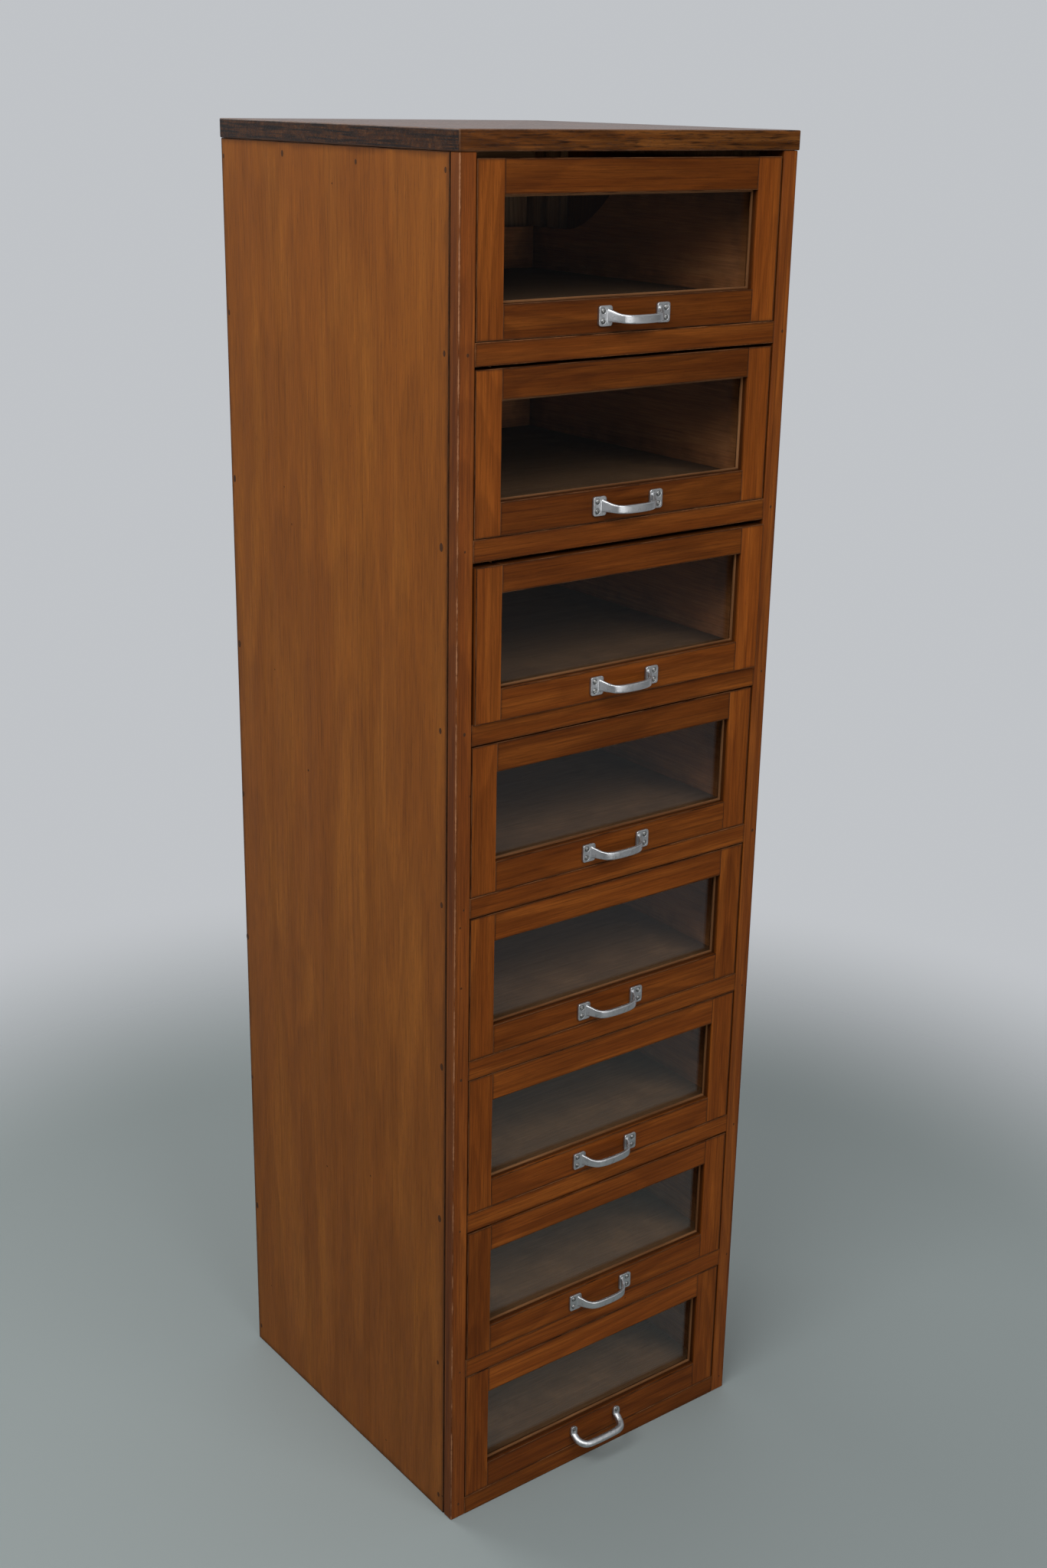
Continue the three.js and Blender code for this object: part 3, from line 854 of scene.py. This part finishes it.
for number in range(1, 9):
    drawer = f"drawer_{number}"
    node = drawer + "_front_frame"
    low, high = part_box(node)
    left_joint = low.x + stile_width
    right_joint = high.x - stile_width
    sill = low.z + foot_rail
    head = sill + window_height
    step = low.y + bead_back
    shape = bmesh.new()
    for outer, joint, inward in ((low.x, left_joint, -1), (high.x, right_joint, 1)):
        rebate = joint + inward * rebate_width
        add_bar(shape, [(outer, low.y), (joint, low.y), (joint, step), (rebate, step), (rebate, high.y),
                        (outer, high.y)], "Z", low.z, high.z)
    for outer, edge, inward in ((low.z, sill, -1), (high.z, head, 1)):
        rebate = edge + inward * rebate_width
        add_bar(shape, [(low.y, outer), (low.y, edge), (step, edge), (step, rebate), (high.y, rebate),
                        (high.y, outer)], "X", left_joint, right_joint)
    bmesh.ops.recalc_face_normals(shape, faces=shape.faces)
    soften(shape, front_arris)
    boards = [
        board(low, (left_joint, high.y, high.z), "Z", spare_high=(tenon, 0, 0)),
        board((right_joint, low.y, low.z), high, "Z", spare_low=(-tenon, 0, 0)),
        board((left_joint, low.y, low.z), (right_joint, high.y, sill), "X"),
        board((left_joint, low.y, head), (right_joint, high.y, high.z), "X"),
    ]
    dice = np.random.default_rng(424 + number)
    lower = (number - 1) / 7
    # The left and right stiles grow darker down the case, and the foot and head rails paler
    tones = np.array([0.40 - 0.34 * lower, 0.84 - 0.74 * lower, 0.44 * lower - 0.43, 1.29 * lower - 0.87])
    tones += 0.7 * dice.random(4)
    wooden_piece(
        drawer + "_front", shape, boards, drawer, front_wood, [node], tones=tones, face=low.y,
    )
    shape = grown_shape(f"bead_{number}", bead_tree, [(0, 0, 0)], {
        "Window width": right_joint - left_joint, "Window height": head - sill, "Bead width": bead_width,
        "Bead depth": bead_back - bead_front, "Finish": bead_wood,
        "Middle": ((left_joint + right_joint) / 2, low.y + (bead_front + bead_back) / 2, (sill + head) / 2),
    })
    soften(shape, front_arris)
    boards = [
        board((left_joint, low.y, sill), (right_joint, high.y, sill + bead_width), "X"),
        board((left_joint, low.y, head - bead_width), (right_joint, high.y, head), "X"),
        board((left_joint, low.y, sill), (left_joint + bead_width, high.y, head), "Z"),
        board((right_joint - bead_width, low.y, sill), (right_joint, high.y, head), "Z"),
    ]
    wooden_piece(drawer + "_bead", shape, boards, drawer, bead_wood, [], seed=140 + number)


# Panes: clear drawn glass, a little grey, puttied in behind the bead.
pane_arris = 0.0003
pane_tint = (0.93, 0.95, 0.94, 1)
pane_glass, tree, shader = new_material("Window glass")
feed(shader, {"Base Color": pane_tint, "Transmission Weight": 1.0, "IOR": 1.42, "Roughness": 0.02})
path = put(tree, "ShaderNodeLightPath").outputs
through = out(tree, "ShaderNodeMixShader", {
    0: math_of("MAXIMUM", path["Is Shadow Ray"], path["Is Diffuse Ray"]),
    1: shader.outputs["BSDF"], 2: out(tree, "ShaderNodeBsdfTransparent", {"Color": pane_tint}),
})
feed(tree.nodes["Material Output"], {"Surface": through})
for number in range(1, 9):
    drawer = f"drawer_{number}"
    mesh = shape_mesh(drawer + "_pane", softened(drawer + "_glass", pane_arris, 1))
    mesh.materials.append(pane_glass)
    pane = add_object(drawer + "_pane", mesh)
    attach(pane, drawer)
    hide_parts(drawer + "_glass")


# Bow handles: sand-cast aluminium, filed and worn to a satin. A lug with two screws at each end
# rises into a riser as tall as itself, which sweeps in to a narrow bar below the middle.
handle_half = 0.050
lug_inner = 0.0318
lug_half_height = 0.0109
lug_thickness = 0.0030
lug_corner = 0.0031
screw_across = 0.0442
screw_up = 0.0054
screw_radius = 0.0031
screw_seat = 0.0004
casting_voxel = 0.00042
sink_radius = 0.0034
sink_depth = 0.0024
sink_set_back = 0.0010
bow_rings = 61
bow_sides = 32
bow_squareness = 4.6
# Half of the bow, from a lug to the middle: across, forward, thickness, top and bottom
bow_stations = np.array([
    (-0.0382, 0.0006, 0.0036, 0.0072, -0.0068),
    (-0.0362, 0.0034, 0.0038, 0.0068, -0.0067),
    (-0.0338, 0.0076, 0.0040, 0.0054, -0.0066),
    (-0.0304, 0.0124, 0.0042, 0.0031, -0.0069),
    (-0.0257, 0.0168, 0.0045, 0.0019, -0.0075),
    (-0.0195, 0.0188, 0.0047, 0.0014, -0.0080),
    (-0.0110, 0.0195, 0.0048, 0.0012, -0.0083),
    (0.0000, 0.0197, 0.0048, 0.0012, -0.0084),
])


def squared(share, power):
    """A cosine or sine pushed outwards, which makes a circle into a rounded square."""
    return math.copysign(abs(share) ** (2 / power), share)


def loft(shape, stations, around, power):
    """A closed tube of rounded rectangles along stations of across, forward, thickness, top, bottom."""
    centre = stations[:, :2]
    slope = np.gradient(centre, axis=0)
    slope /= np.linalg.norm(slope, axis=1)[:, None]
    rings = []
    for (across, forward, thickness, top, bottom), (run, rise) in zip(stations, slope):
        ring = []
        for step in range(around):
            angle = 2 * math.pi * step / around
            wide = squared(math.cos(angle), power) * thickness / 2
            tall = squared(math.sin(angle), power) * (top - bottom) / 2
            ring.append((across - rise * wide, -(forward + run * wide), (top + bottom) / 2 + tall))
        rings.append(ring)
    add_tube(shape, rings)


def rounded_plate(shape, left, right, low, high, depth, corner, steps=5):
    """A plate with rounded corners that lies against the drawer front."""
    outline = []
    for x, z, start in (
        (right - corner, high - corner, 0), (left + corner, high - corner, 90),
        (left + corner, low + corner, 180), (right - corner, low + corner, 270),
    ):
        for step in range(steps + 1):
            angle = math.radians(start + 90 * step / steps)
            outline.append((x + corner * math.cos(angle), z + corner * math.sin(angle)))
    add_tube(shape, [[(x, y, z) for x, z in outline] for y in (0, -depth)])


def cast(name, shape, sinks, sink_radius, face):
    """Fuses overlapping solids into one soft-edged casting, then countersinks it for its screws."""
    bmesh.ops.recalc_face_normals(shape, faces=shape.faces)
    piece = add_object(name, shape_mesh(name, shape))
    fuse = piece.modifiers.new("Fuse", "REMESH")
    fuse.mode = "VOXEL"
    fuse.voxel_size = casting_voxel
    rub = piece.modifiers.new("Rub", "SMOOTH")
    rub.factor = 0.5
    rub.iterations = 4
    settle(piece)
    cutter_shape = bmesh.new()
    for x, z in sinks:
        bmesh.ops.create_cone(
            cutter_shape, cap_ends=True, segments=24, radius1=sink_radius * 0.35,
            radius2=sink_radius * 1.12, depth=sink_depth,
            matrix=Matrix.Translation((x, -face + sink_set_back, z)) @ Matrix.Rotation(math.pi / 2, 4, "X"),
        )
    cutter = add_object("sinks", shape_mesh("sinks", cutter_shape))
    cut = piece.modifiers.new("Sink", "BOOLEAN")
    cut.operation = "DIFFERENCE"
    cut.solver = "EXACT"
    cut.object = cutter
    settle(piece)
    bpy.data.objects.remove(cutter)
    piece.data.shade_smooth()
    return piece


whole_bow = np.vstack([bow_stations, bow_stations[-2::-1] * np.array([-1, 1, 1, 1, 1])])
steps = np.linspace(0, len(whole_bow) - 1, bow_rings)
smooth_bow = np.column_stack([np.interp(steps, np.arange(len(whole_bow)), row) for row in whole_bow.T])
for _ in range(2):
    smooth_bow[1:-1] = (smooth_bow[:-2] + 2 * smooth_bow[1:-1] + smooth_bow[2:]) / 4
shape = bmesh.new()
loft(shape, smooth_bow, bow_sides, bow_squareness)
for sign in (-1, 1):
    edges = sorted((sign * handle_half, sign * lug_inner))
    rounded_plate(shape, edges[0], edges[1], -lug_half_height, lug_half_height, lug_thickness, lug_corner)
screws = [(x * screw_across, z * screw_up) for x in (-1, 1) for z in (-1, 1)]
bow = cast("bow_pattern", shape, screws, sink_radius, lug_thickness)

# Slotted iron screws with raised heads, dark with age, their slots at any angle
screw_tree, given, result = new_growth("Slotted screws", {
    "Head radius": "Float", "Head rise": "Float", "Slot width": "Float", "Slot depth": "Float",
    "Seed": "Int",
})
ball = out(screw_tree, "GeometryNodeMeshUVSphere", {"Segments": 20, "Rings": 10, "Radius": 1.0})
head_size = triple(given["Head radius"], given["Head radius"], given["Head rise"])
head = follow("GeometryNodeTransform", {"Geometry": ball, "Scale": head_size})
slot_size = triple(times(given["Head radius"], 3.0), given["Slot width"], times(given["Slot depth"], 2.0))
slot_box = follow("GeometryNodeMeshCube", {"Size": slot_size})
slot_place = triple(0.0, 0.0, given["Head rise"])
slot_on = follow("GeometryNodeTransform", {"Geometry": slot_box, "Translation": slot_place})
slotted = follow("GeometryNodeMeshBoolean", {"Mesh 1": head, "Mesh 2": slot_on}, operation="DIFFERENCE")
turn_dice = put(
    screw_tree, "FunctionNodeRandomValue", {3: math.pi, "Seed": given["Seed"]}, data_type="FLOAT",
)
heads = follow("GeometryNodeInstanceOnPoints", {
    "Points": given["Geometry"], "Instance": slotted,
    "Rotation": triple(math.pi / 2, turn_dice.outputs[1], 0.0),
})
end_growth(heads, given, result)

# Satin of a worn casting: bright where rubbed, grey and rougher where dirt has stayed. Scales are in
# marks to the metre.
bloom_scale = 160.0
scratch_scale = 900.0
speck_scale = 1400.0
patina_group, given, result = new_group(
    "Worn metal",
    {
        "Place": ("Vector", None), "Bright": ("Color", (0.49, 0.50, 0.51, 1)),
        "Dull": ("Color", (0.13, 0.13, 0.13, 1)), "Dirt": ("Float", 0.5),
    },
    {"Color": "Color", "Roughness": "Float", "Height": "Float"},
)
bloom = noise(given["Place"], 4.0, 0.65, 0.3, bloom_scale)
hair = vector_of("MULTIPLY", given["Place"], (0.12, 1.0, 1.0))
scratch = noise(hair, 3.0, 0.7, 0.0, scratch_scale)
speck = noise(given["Place"], 2.0, 0.5, 0.0, speck_scale)
stain = times(ease(bloom, 0.5, 0.72), given["Dirt"])
specks = times(ease(speck, 0.66, 0.74), 0.6)
stain = math_of("MAXIMUM", stain, specks)
rough = math_of("MULTIPLY_ADD", scratch, 0.18, 0.3)
feed(result, {
    "Color": blend_colours(stain, given["Bright"], given["Dull"]),
    "Roughness": math_of("MULTIPLY_ADD", stain, 0.25, rough),
    "Height": math_of("MULTIPLY_ADD", bloom, 2.0, scratch),
})


def metal_finish(name, values, relief):
    material, tree, shader = new_material(name)
    place = put(tree, "ShaderNodeTexCoord").outputs["Object"]
    worn_metal = put(tree, "ShaderNodeGroup", {"Place": place, **values}, node_tree=patina_group).outputs
    feed(shader, {"Base Color": worn_metal["Color"], "Roughness": worn_metal["Roughness"], "Metallic": 1.0})
    raise_surface(tree, shader, worn_metal["Height"], 0.4, relief)
    return material


cast_metal = metal_finish("Cast aluminium", {}, relief=0.00025)
screw_iron = metal_finish(
    "Dark iron", {"Bright": (0.22, 0.22, 0.215, 1), "Dull": (0.025, 0.022, 0.020, 1), "Dirt": 0.7},
    relief=0.00006,
)
bow.data.materials.append(cast_metal)


def fit_handle(number, pattern, centre, screws, face, head_radius):
    """A copy of a cast pattern on a drawer front, and its screws."""
    drawer = f"drawer_{number}"
    mesh = pattern.data.copy()
    mesh.transform(Matrix.Translation(centre))
    pull = add_object(drawer + "_pull", mesh)
    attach(pull, drawer)
    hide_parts(drawer + "_handle")
    points = [centre + Vector((x, -face + screw_seat, z)) for x, z in screws]
    heads = grown(drawer + "_pull_screws", screw_tree, points, {
        "Head radius": head_radius, "Head rise": head_radius * 0.6, "Slot width": head_radius * 0.26,
        "Slot depth": head_radius * 0.3, "Seed": number, "Finish": screw_iron,
    })
    heads.data.shade_smooth()
    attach(heads, drawer)


for number in range(1, 8):
    low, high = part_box(f"drawer_{number}_handle")
    centre = Vector(((low.x + high.x) / 2, high.y, (low.z + high.z) / 2))
    fit_handle(number, bow, centre, screws, lug_thickness, screw_radius)
bpy.data.objects.remove(bow)


# The lowest drawer has lost its cast bow, and a round one stands in for it: a smooth bar that
# leaves an oval pad at each end, comes forward and hangs below them.
round_half = 0.036
round_lift = 0.0040
round_bar = 0.0047
bar_rings = 60
bar_sides = 20
pad_half_width = 0.0052
pad_height = 0.0150
pad_depth = 0.0034
pad_gap = 0.0001
screw_lift = 0.0028
round_screw_radius = 0.0024
round_sink_radius = 0.0029
# Half of the bar, from a pad's lower end to the middle: across, forward and up
half_path = [
    (-0.0360, 0.0022, -0.0010), (-0.0357, 0.0075, -0.0042), (-0.0342, 0.0130, -0.0066),
    (-0.0305, 0.0180, -0.0082), (-0.0240, 0.0207, -0.0089), (-0.0120, 0.0214, -0.0091),
]
path_points = half_path + [(0, 0.0215, -0.0092)] + [(-x, y, z) for x, y, z in reversed(half_path)]
bar_tree, given, result = new_growth("Round bow", {
    "Bar radius": "Float", "Resolution": "Int", "Sides": "Int",
})
spine = follow("GeometryNodeMeshToCurve", {"Mesh": given["Geometry"]})
spine = follow("GeometryNodeCurveSplineType", {"Curve": spine}, spline_type="CATMULL_ROM")
spine = follow("GeometryNodeResampleCurve", {"Curve": spine, "Count": given["Resolution"]})
section = follow("GeometryNodeCurvePrimitiveCircle", {
    "Resolution": given["Sides"], "Radius": given["Bar radius"],
})
bar = follow("GeometryNodeCurveToMesh", {"Curve": spine, "Profile Curve": section, "Fill Caps": True})
end_growth(bar, given, result)
shape = grown_shape(
    "round_spine", bar_tree, [(x, -y, z) for x, y, z in path_points],
    {"Bar radius": round_bar, "Resolution": bar_rings, "Sides": bar_sides, "Finish": cast_metal},
    [(a, a + 1) for a in range(len(path_points) - 1)],
)
for sign in (-1, 1):
    rounded_plate(
        shape, sign * round_half - pad_half_width, sign * round_half + pad_half_width,
        round_lift - pad_height / 2, round_lift + pad_height / 2, pad_depth, pad_half_width * 0.98,
    )
round_screws = [(-round_half, round_lift + screw_lift), (round_half, round_lift + screw_lift)]
round_bow = cast("round_pattern", shape, round_screws, round_sink_radius, pad_depth)
round_bow.data.materials.clear()
round_bow.data.materials.append(cast_metal)
low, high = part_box("drawer_8_handle")
front_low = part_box("drawer_8_front_frame")[0]
centre = Vector(((low.x + high.x) / 2, front_low.y - pad_gap, front_low.z + foot_rail / 2))
fit_handle(8, round_bow, centre, round_screws, pad_depth, round_screw_radius)
bpy.data.objects.remove(round_bow)


# Stage: a plain grey floor that runs into a plain pale background, and soft lamps around. In
# reflections alone, the room in front of the cabinet is dimmer than the background.
floor_colour = (0.222, 0.255, 0.253, 1)
background = (0.530, 0.548, 0.573, 1)
surround = (0.62, 0.63, 0.65, 1)
surround_strength = 0.40
floor_radius = 40
fade_near, fade_far = 0.9, 1.8
# How far a direction leans forwards, down or up: from, to, and the share of dimness at each
dim_ahead = (-0.1, -0.5, 0.0, 1.0)
dim_below = (-0.17, -0.38, 0.93, 0.55)
dim_above = (0.1, 0.6, 1.0, 0.3)


def seen_ray(tree):
    """One where a ray comes from the camera, a reflection or a pane, and zero elsewhere."""
    path = put(tree, "ShaderNodeLightPath").outputs
    seen = math_of("MAXIMUM", path["Is Camera Ray"], path["Is Glossy Ray"])
    return math_of("MAXIMUM", seen, path["Is Transmission Ray"])


floor_shape = bmesh.new()
bmesh.ops.create_circle(floor_shape, cap_ends=True, segments=96, radius=floor_radius)
floor_mesh = shape_mesh("floor", floor_shape)
floor = add_object("floor", floor_mesh)
floor_paint, tree, shader = new_material("Pale floor")
floor_mesh.materials.append(floor_paint)
feed(shader, {"Base Color": floor_colour, "Roughness": 0.6})
spot = put(tree, "ShaderNodeTexCoord").outputs["Object"]
away = put(tree, "ShaderNodeVectorMath", {0: spot}, operation="LENGTH").outputs["Value"]
merged = out(tree, "ShaderNodeMixShader", {
    0: times(ease(away, fade_near, fade_far), seen_ray(tree)),
    1: shader.outputs["BSDF"], 2: out(tree, "ShaderNodeBsdfTransparent"),
})
feed(tree.nodes["Material Output"], {"Surface": merged})

world = bpy.data.worlds.new("Pale room")
scene.world = world
world.use_nodes = True
tree = world.node_tree
light = tree.nodes["Background"]
feed(light, {"Color": surround, "Strength": surround_strength})
heading = parts_of(out(tree, "ShaderNodeTexCoord"))
glossy = put(tree, "ShaderNodeLightPath").outputs["Is Glossy Ray"]
dim = times(ease(heading[1], *dim_ahead), glossy)
dim = times(dim, times(ease(heading[2], *dim_below), ease(heading[2], *dim_above)))
view = out(tree, "ShaderNodeBackground", {"Color": background, "Strength": math_of("SUBTRACT", 1.0, dim)})
merged = follow("ShaderNodeMixShader", {0: seen_ray(tree), 1: light.outputs[0], 2: view})
feed(tree.nodes["World Output"], {"Surface": merged})

for name, place, aim, size, watts in (
    ("Key", (-2.0, -0.9, 3.0), (0, 0, 1.4), (2.0, 1.5), 70),
    ("Front", (-0.1, -2.3, 2.9), (0, 0, 1.3), (1.8, 1.2), 33),
    ("Low", (0.2, -2.9, 0.95), (0, 0, 1.1), (2.2, 1.3), 20),
    ("Head", (0.0, 0.2, 3.8), (0, 0, 0.6), (2.4, 2.4), 14),
    ("Rear", (-0.9, 2.7, 3.1), (0, 0, 1.0), (1.8, 1.8), 50),
):
    lamp = bpy.data.lights.new(name, "AREA")
    lamp.shape = "RECTANGLE"
    lamp.size, lamp.size_y = size
    lamp.energy = watts
    holder = add_object(name, lamp)
    holder.location = place
    holder.rotation_mode = "QUATERNION"
    holder.rotation_quaternion = (Vector(aim) - Vector(place)).to_track_quat("-Z", "Y")
